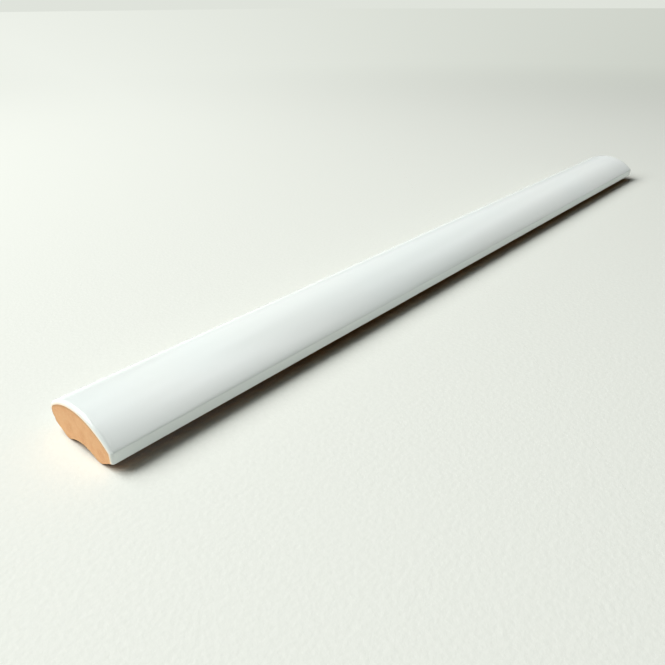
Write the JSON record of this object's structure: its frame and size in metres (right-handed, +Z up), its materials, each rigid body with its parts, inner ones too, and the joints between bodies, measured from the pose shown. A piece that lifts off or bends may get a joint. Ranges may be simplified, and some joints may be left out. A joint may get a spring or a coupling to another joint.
{
  "type": "border tile",
  "caption": "Long narrow glazed ceramic border tile with a domed top, an upright lip, a rounded nose and a hollowed back, for finishing the edge of wall tiling.",
  "frame": {"origin": "on the plane of the two back lands, at the middle of the length and of the width", "axes": "+X along the tile, +Y across it from the upright lip to the rounded nose, +Z up from the back to the glazed crown"},
  "size_m": [0.25, 0.02, 0.0087],
  "materials": {
    "white_glaze": "gloss",
    "fired_clay": "matte"
  },
  "bodies": {
    "root": {"border_tile": "white_glaze"}
  },
  "joints": []
}
